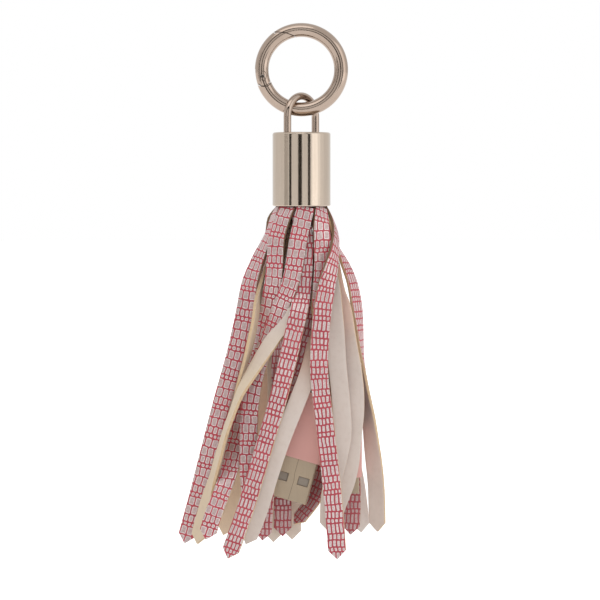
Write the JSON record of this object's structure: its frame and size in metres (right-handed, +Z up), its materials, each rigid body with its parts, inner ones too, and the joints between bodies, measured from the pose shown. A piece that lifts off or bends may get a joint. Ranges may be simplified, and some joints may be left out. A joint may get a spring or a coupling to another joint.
{
  "type": "tassel keychain with charging cable",
  "caption": "Leather-strip tassel on a spring-gate ring, with a metal cap and a short charging cable hidden among the strips.",
  "frame": {"origin": "centre of the spring-gate ring", "axes": "+Z up along the hanging tassel, +Y along the ring's axis away from the viewer, +X to the viewer's right"},
  "size_m": [0.0624, 0.0275, 0.1593],
  "materials": {
    "nickel": "polished warm nickel plate",
    "spring_steel": "bright spring wire",
    "strip_leather": "metallic printed face, suede back",
    "setting_compound": "cured",
    "cable_jacket": "matt",
    "relief_rubber": "matt",
    "grip_plastic": "fine matt",
    "plug_shell": "nickel plated",
    "insert_plastic": "moulded",
    "contact_metal": "plated"
  },
  "bodies": {
    "ring": {"ring_body": "nickel", "gate_pin": "nickel"},
    "gate": {"gate": "nickel", "gate_spring": "spring_steel"},
    "tassel": {"cap": "nickel", "bail": "nickel", "bail_washer": "nickel", "core_plug": "setting_compound", "header_roll": "strip_leather", "cable_bend": "cable_jacket", "strand_01": "strip_leather", "strand_02": "strip_leather", "strand_03": "strip_leather", "strand_04": "strip_leather", "strand_05": "strip_leather", "strand_06": "strip_leather", "strand_07": "strip_leather", "strand_08": "strip_leather", "strand_09": "strip_leather", "strand_10": "strip_leather", "strand_11": "strip_leather", "strand_12": "strip_leather", "strand_13": "strip_leather", "strand_14": "strip_leather", "strand_15": "strip_leather", "strand_16": "strip_leather", "strand_17": "strip_leather", "strand_18": "strip_leather", "strand_19": "strip_leather", "strand_20": "strip_leather", "cable_usb_a": "cable_jacket", "cable_micro": "cable_jacket", "usb_a_relief": "relief_rubber", "usb_a_grip": "grip_plastic", "usb_a_shell": "plug_shell", "usb_a_insert": "insert_plastic", "usb_a_contacts": "contact_metal", "micro_relief": "relief_rubber", "micro_grip": "grip_plastic", "micro_shell": "plug_shell", "micro_insert": "insert_plastic", "micro_contacts": "contact_metal"}
  },
  "joints": [
    {"name": "gate_hinge", "type": "hinge", "parent": "ring", "child": "gate", "pos_m": [-0.01167, 0, -0.00206], "axis": [0, 1, 0], "range_deg": [0, 24], "stiffness_Nm_per_rad": 0.02, "springref_deg": -34.38, "deforming": ["gate_spring"]},
    {"name": "tassel_swing", "type": "hinge", "parent": "ring", "child": "tassel", "pos_m": [0, 0, -0.01185], "axis": [1, 0, 0], "range_deg": [-80, 80]}
  ]
}
